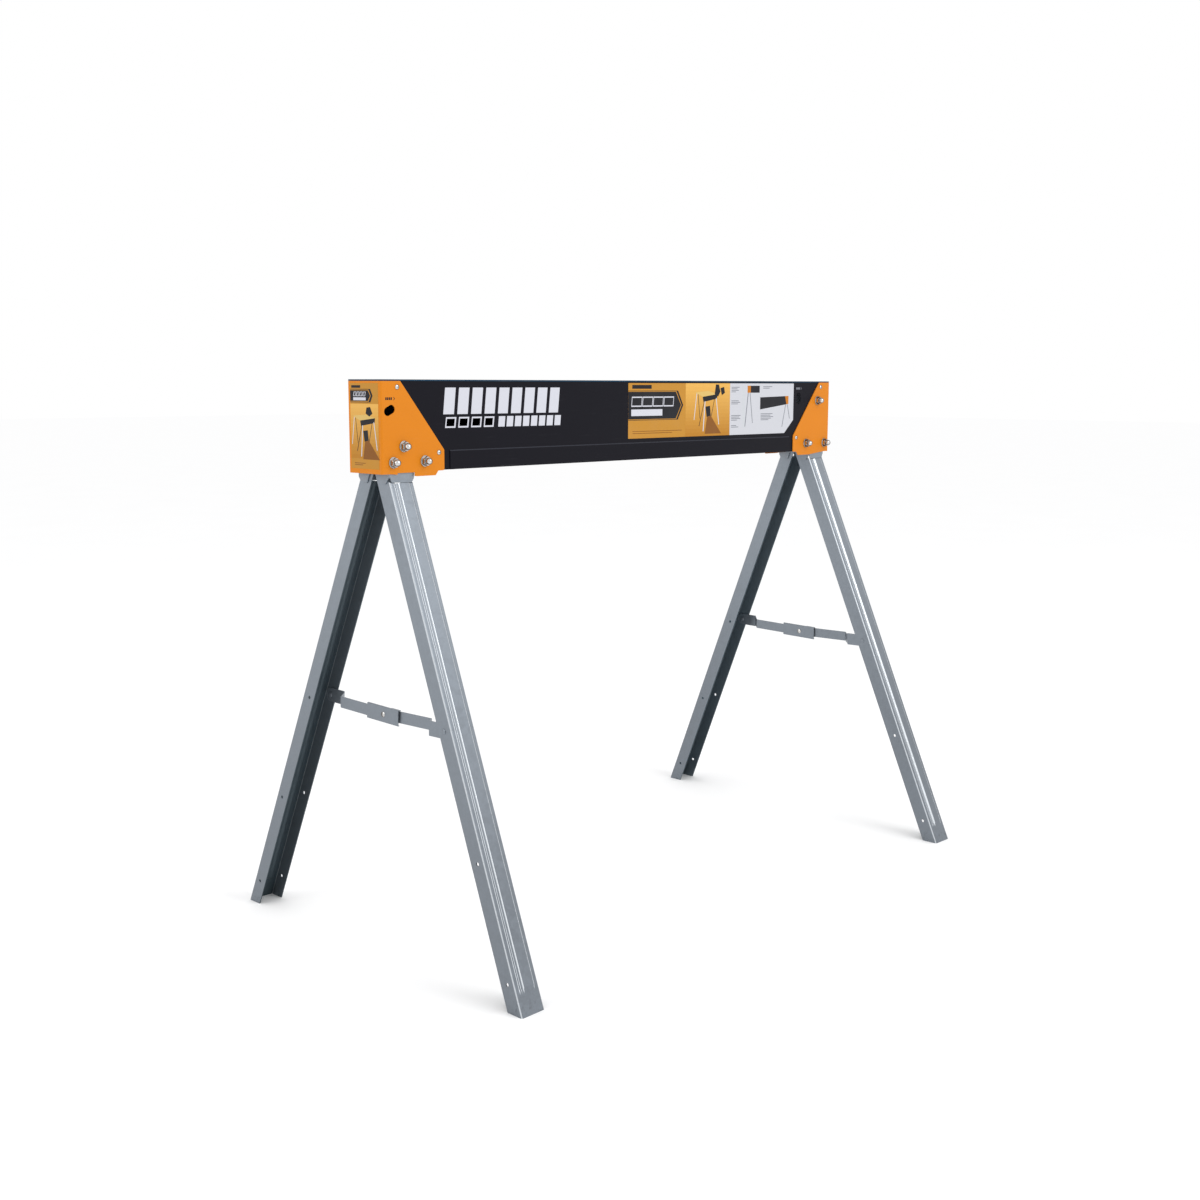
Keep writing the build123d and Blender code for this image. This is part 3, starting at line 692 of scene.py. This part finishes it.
# ---------------------------------------------------------------------------- operators
class SAWHORSE_OT_paint(bpy.types.Operator):
    """Give every steel part of the frame its finish"""

    bl_idname = "sawhorse.paint"
    bl_label = "Paint steelwork"

    def execute(self, context):
        colours = context.scene.sawhorse_finishes
        finishes = {
            # the last number is the strength of the painted edge highlights
            "beam_paint": powder_coat("navy_powder_coat", colours.beam, 0.12, 0.46, 0.9),
            "bracket_paint": powder_coat("orange_powder_coat", colours.bracket, 0.22, 0.48, 0.0),
            "galvanised": galvanised("galvanised_sheet", colours.zinc),
            "zinc": bright_zinc("bright_zinc", colours.plating),
            "latch": moulded("black_moulding", (0.02, 0.02, 0.022)),
            "label": printed_film("label_film"),
        }
        legs = {
            f"{end}_{word}_leg": galvanised(f"{end}_{word}_leg_sheet", colours.zinc, side, face)
            for end, side in (("left", -1), ("right", 1))
            for word, face in (("front", -1), ("back", 1))
        }
        dull = ("brace_rivet", "brace_centre", "hinge_pins")
        for part in frame["record"]["subparts"]:
            slot = "galvanised" if part["node"].endswith(dull) else part["material_slot"]
            finish = legs.get(part["node"], finishes[slot])
            for surface in frame["nodes"][part["node"]].material_slots:
                surface.material = finish
        return {"FINISHED"}


class SAWHORSE_OT_washers(bpy.types.Operator):
    """Chamfered washers under every nut"""

    bl_idname = "sawhorse.washers"
    bl_label = "Washers"

    def execute(self, context):
        size = context.scene.sawhorse_fasteners
        r, t = size.washer_radius, size.washer_wall
        bevel = t / 5
        for name, node, places, bore in (
            ("fixing_washer_set", "fixing_washers", STUDS, 0.003),
            ("pivot_washer_set", "pivot_washers", BOLTS, 0.004),
        ):
            profile = [(bore, 0), (r - bevel, 0), (r, bevel), (r, t - bevel), (r - bevel, t), (bore, t)]
            piece = set_of_turned(name, profile, both_faces(places), closed=True, around=64)
            finish_piece(piece, "bright_zinc", "beam", "zinc", node)
        return {"FINISHED"}


class SAWHORSE_OT_nuts(bpy.types.Operator):
    """Chamfered hexagon nuts with domed ends"""

    bl_idname = "sawhorse.nuts"
    bl_label = "Domed nuts"

    def execute(self, context):
        size = context.scene.sawhorse_fasteners
        corner = size.nut_across / np.sqrt(3)
        h, ball, rise = size.nut_height, size.dome_radius, size.dome_rise
        start = np.arcsin((h - rise) / ball)
        climb = np.linspace(start, np.pi / 2, 12)[:-1]
        dome = [(ball * np.cos(a), rise + ball * np.sin(a)) for a in climb]
        dome.append((ball * 0.03, rise + ball))
        nut = [(corner * 0.93, 0), (corner, h * 0.10), (corner, h * 0.84), (corner * 0.90, h)]
        profile = nut + [(dome[0][0] + 0.0002, h)] + dome
        for name, node, places in (
            ("fixing_nut_set", "fixing_dome_nuts", STUDS),
            ("pivot_nut_set", "pivot_dome_nuts", BOLTS),
        ):
            stands = both_faces(places, size.washer_wall)
            shape = {"around": 96, "across_flats": size.nut_across, "hexed": len(nut)}
            piece = set_of_turned(name, profile, stands, **shape)
            finish_piece(piece, "bright_zinc", "beam", "zinc", node)
        return {"FINISHED"}


class SAWHORSE_OT_rivets(bpy.types.Operator):
    """Blind rivets with a domed flange and a sunk centre"""

    bl_idname = "sawhorse.rivets"
    bl_label = "Bracket rivets"

    def execute(self, context):
        size = context.scene.sawhorse_fasteners
        r, h = size.rivet_radius, size.rivet_height
        flange = [(1, 0), (1, 0.2), (0.94, 0.42), (0.80, 0.70), (0.60, 0.90), (0.42, 1)]
        centre = [(0.34, 1), (0.30, 0.86), (0.27, 0.45), (0.05, 0.42)]
        profile = [(r * out, h * up) for out, up in flange + centre]
        piece = set_of_turned("bracket_rivet_set", profile, both_faces(RIVETS), around=48)
        finish_piece(piece, "bright_zinc", "beam", "zinc", "end_bracket_rivets")
        return {"FINISHED"}


class SAWHORSE_OT_front_label(bpy.types.Operator):
    """Printed film on the front: coloured half with a badge, white half with small pictures"""

    bl_idname = "sawhorse.front_label"
    bl_label = "Front label"

    def execute(self, context):
        left, right, top, foot, fold = 489.0, 925.0, 4.0, 91.5, 744.0
        outline = [(left, top), (right, top), (right, foot - 23), (right - 26, foot), (left, foot)]
        shapes = picture_ground(628, top, fold - 628, foot - top)
        shapes += [(bar(left + 9, 7, 46, 6), INK)]
        shapes += badge(left, 16, 133, 47)
        shapes += trestle_picture(650, 8, 1.08, TAN, INK, WHITE)
        shapes += [([(706, 6), (714, 6), (718, 18), (712, 26), (703, 22)], INK)]
        shapes += [([(718, 12), (728, 10), (730, 20), (722, 24)], INK)]
        shapes += [(mark, BROWN) for mark in small_print(left + 10, 80, [120, 96], 0.9, 3.2)]
        white = [(fold, top), *outline[1:4], (fold, foot)]
        shapes += [(white, PALE)]
        column = ((10, [22, 16, 20, 12]), (33, [20, 24, 18]), (58, [26, 22, 25, 16]), (75, [14, 20]))
        for v, lengths in column:
            shapes += [(mark, GREY) for mark in small_print(fold + 4, v, lengths)]
        shapes += [(bar(fold + 36, 9, 6, 70, -3.0), (0.55, 0.57, 0.60))]
        shapes += [(bar(fold + 48, 8, 34, 12), INK), (bar(fold + 48, 8, 9, 12), ORANGE)]
        shapes += [(line(fold + 50, 20, fold + 42, 78, 2.0), GREY)]
        shapes += [(line(fold + 55, 20, fold + 63, 72, 1.6), GREY)]
        shapes += [([(fold + 84, 28), (fold + 166, 26), (fold + 166, 40), (fold + 84, 49)], INK)]
        shapes += [([(fold + 156, 26), (fold + 166, 26), (fold + 166, 40), (fold + 160, 40.6)], ORANGE)]
        shapes += [(line(fold + 158, 41, fold + 148, 80, 1.6), GREY)]
        shapes += [(line(fold + 163, 41, fold + 170, 66, 1.6), GREY)]
        shapes += [(mark, GREY) for mark in small_print(fold + 86, 56, [34, 28, 36, 30, 22])]
        shapes += [(mark, GREY) for mark in small_print(fold + 92, 9, [26, 18])]
        place = on_front(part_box("front_label")[1][1])
        piece = film_object("front_film", outline, YELLOW, shapes, place, 0.00015)
        finish_piece(piece, "label_film", "beam", "label", "front_label")
        return {"FINISHED"}


class SAWHORSE_OT_end_label(bpy.types.Operator):
    """Printed film on the left end wall"""

    bl_idname = "sawhorse.end_label"
    bl_label = "End label"

    def execute(self, context):
        outline = [(0, 5), (62, 5), (62, 121), (0, 121)]
        shapes = picture_ground(0, 33, 62, 74)
        shapes += [(bar(3, 8, 20, 3.5), INK)]
        shapes += badge(0, 13, 50, 18)
        shapes += trestle_picture(3, 40, 0.92, TAN, INK, WHITE)
        shapes += [([(36, 38), (44, 37), (49, 46), (42, 50), (34, 46)], INK)]
        shapes += [(mark, BROWN) for mark in small_print(8, 113, [24, 18], 0.9, 2.4)]
        piece = film_object("end_film", outline, YELLOW, shapes, on_left_end, 0.00015)
        finish_piece(piece, "label_film", "beam", "label", "end_label")
        return {"FINISHED"}


class SAWHORSE_OT_beam_print(bpy.types.Operator):
    """White print on the front of the beam: slanted blocks over outlined and solid ones"""

    bl_idname = "sawhorse.beam_print"
    bl_label = "Beam print"

    def execute(self, context):
        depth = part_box("front_label")[1][1]
        blocks = [bar(109 + k * 25.6, 11, 19.5, 37, 4.0) for k in range(9)]
        rings = [bar(112 + k * 24.0, 52, 19.0, 15, 2.0) for k in range(4)]
        holes = [bar(114.2 + k * 24.0, 54.2, 14.6, 10.6, 1.4) for k in range(4)]
        solid = [bar(212 + k * 16.2, 52, 12.6, 15, 1.6) for k in range(8)]
        shapes = [(b, WHITE) for b in blocks[1:] + rings + solid] + [(h, INK) for h in holes]
        piece = film_object("beam_print", blocks[0], WHITE, shapes, on_front(depth), 0.00003, 0.0)
        finish_piece(piece, "label_film", "beam", "label")
        return {"FINISHED"}


class SAWHORSE_OT_slot_marks(bpy.types.Operator):
    """Small plain marks above the two slots: four bars and an arrowhead"""

    bl_idname = "sawhorse.slot_marks"
    bl_label = "Slot marks"

    def execute(self, context):
        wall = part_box("left_end_bracket")[0][1]
        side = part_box("front_label")[1][1]
        for name, u, v, depth, colour in (
            ("left_slot_mark", 7.0, 24.0, wall, INK),
            ("right_slot_mark", 2000 * HALF_LENGTH - 101.0, 11.0, side, GREY),
        ):
            bars = [bar(u + k * 3.0, v, 2.3, 3.6, 0.4) for k in range(1, 4)]
            outer = [(13.5, -0.4), (14.5, -0.4), (16.5, 1.8), (14.5, 4.0), (13.5, 4.0), (15.4, 1.8)]
            head = [(u + a, v + b) for a, b in outer]
            shapes = [(mark, colour) for mark in (*bars, head[:3] + head[5:], head[2:])]
            first = bar(u, v, 2.3, 3.6, 0.4)
            piece = film_object(name, first, colour, shapes, on_front(depth), 0.00003, 0.0)
            finish_piece(piece, "label_film", "beam", "label")
        return {"FINISHED"}


class SAWHORSE_OT_stage(bpy.types.Operator):
    """Pale floor, soft light and the camera"""

    bl_idname = "sawhorse.stage"
    bl_label = "Studio"

    def execute(self, context):
        studio = context.scene.sawhorse_studio
        half = 30.0
        points = np.array([(-half, -half, 0), (half, -half, 0), (half, half, 0), (-half, half, 0)])
        floor = mesh_object("studio_floor", points, [[0, 1, 2, 3]])
        paper = Finish("floor_paper", Specular_IOR_Level=0.0)
        vector, _ = paper.place()
        tone = paper.mix(paper.noise(vector, 3.0), rgb(studio.floor, 0.99), rgb(studio.floor, 1.01))
        paper.set(paper.shader, {"Base_Color": tone, "Roughness": 0.9})
        floor.data.materials.append(paper.material)
        floor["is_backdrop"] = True
        world = bpy.data.worlds.new("soft_sky")
        world.use_nodes = True
        world.node_tree.nodes["Background"].inputs[0].default_value = (1.0, 1.0, 1.0, 1.0)
        world.node_tree.nodes["Background"].inputs[1].default_value = studio.sky
        context.scene.world = world
        for name, spot, aim, size, power in (
            ("key_light", (0.4, -2.6, 2.2), (0.0, 0.0, 0.5), 1.6, studio.key),
            ("side_light", (-2.8, 0.6, 1.6), (-0.3, 0.0, 0.5), 1.2, studio.key * 0.35),
        ):
            light = bpy.data.lights.new(name, "AREA")
            light.energy = power
            light.size = size
            lamp = bpy.data.objects.new(name, light)
            lamp.location = spot
            x, y, z = np.array(spot) - np.array(aim)
            tilt = np.arctan2(np.hypot(x, y), z)
            lamp.rotation_euler = Euler((tilt, 0.0, np.arctan2(x, -y)))
            context.scene.collection.objects.link(lamp)
        camera = bpy.data.objects.new("camera", bpy.data.cameras.new("camera"))
        camera.data.lens = studio.lens
        camera.data.sensor_width = 36.0
        camera.location = (-1.7316, -1.6115, 0.8085)
        aim = Euler((np.radians(90.0 - 8.472), 0.0, np.radians(-46.153))).to_matrix()
        camera.rotation_euler = (aim @ Matrix.Rotation(np.radians(0.16), 3, "Z")).to_euler()
        context.scene.collection.objects.link(camera)
        context.scene.camera = camera
        context.scene.view_settings.view_transform = "Standard"
        return {"FINISHED"}


class SAWHORSE_PT_panel(bpy.types.Panel):
    """Every step of the sawhorse, in order"""

    bl_idname = "SAWHORSE_PT_panel"
    bl_label = "Sawhorse"
    bl_space_type = "VIEW_3D"
    bl_region_type = "UI"
    bl_category = "Sawhorse"

    def draw(self, context):
        for group in ("sawhorse_finishes", "sawhorse_fasteners", "sawhorse_studio"):
            settings = getattr(context.scene, group)
            box = self.layout.box()
            for key in settings.__annotations__:
                box.prop(settings, key)
        for operator in STEPS:
            self.layout.operator(operator.bl_idname)


GROUPS = {
    "sawhorse_finishes": SawhorseFinishes,
    "sawhorse_fasteners": SawhorseFasteners,
    "sawhorse_studio": SawhorseStudio,
}
STEPS = (
    SAWHORSE_OT_paint,
    SAWHORSE_OT_washers,
    SAWHORSE_OT_nuts,
    SAWHORSE_OT_rivets,
    SAWHORSE_OT_front_label,
    SAWHORSE_OT_end_label,
    SAWHORSE_OT_beam_print,
    SAWHORSE_OT_slot_marks,
    SAWHORSE_OT_stage,
)
CLASSES = (*GROUPS.values(), *STEPS, SAWHORSE_PT_panel)


def register():
    for cls in CLASSES:
        bpy.utils.register_class(cls)
    for name, group in GROUPS.items():
        setattr(bpy.types.Scene, name, PointerProperty(type=group))


def unregister():
    for name in GROUPS:
        delattr(bpy.types.Scene, name)
    for cls in reversed(CLASSES):
        bpy.utils.unregister_class(cls)


def main():
    """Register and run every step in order."""
    register()
    for operator in STEPS:
        group, name = operator.bl_idname.split(".")
        getattr(getattr(bpy.ops, group), name)()
    boxes = {"cad": CAD_BOX, "visual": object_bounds()}
    plain = {key: [[float(c) for c in corner] for corner in box] for key, box in boxes.items()}


if __name__ == "__main__":
    main()
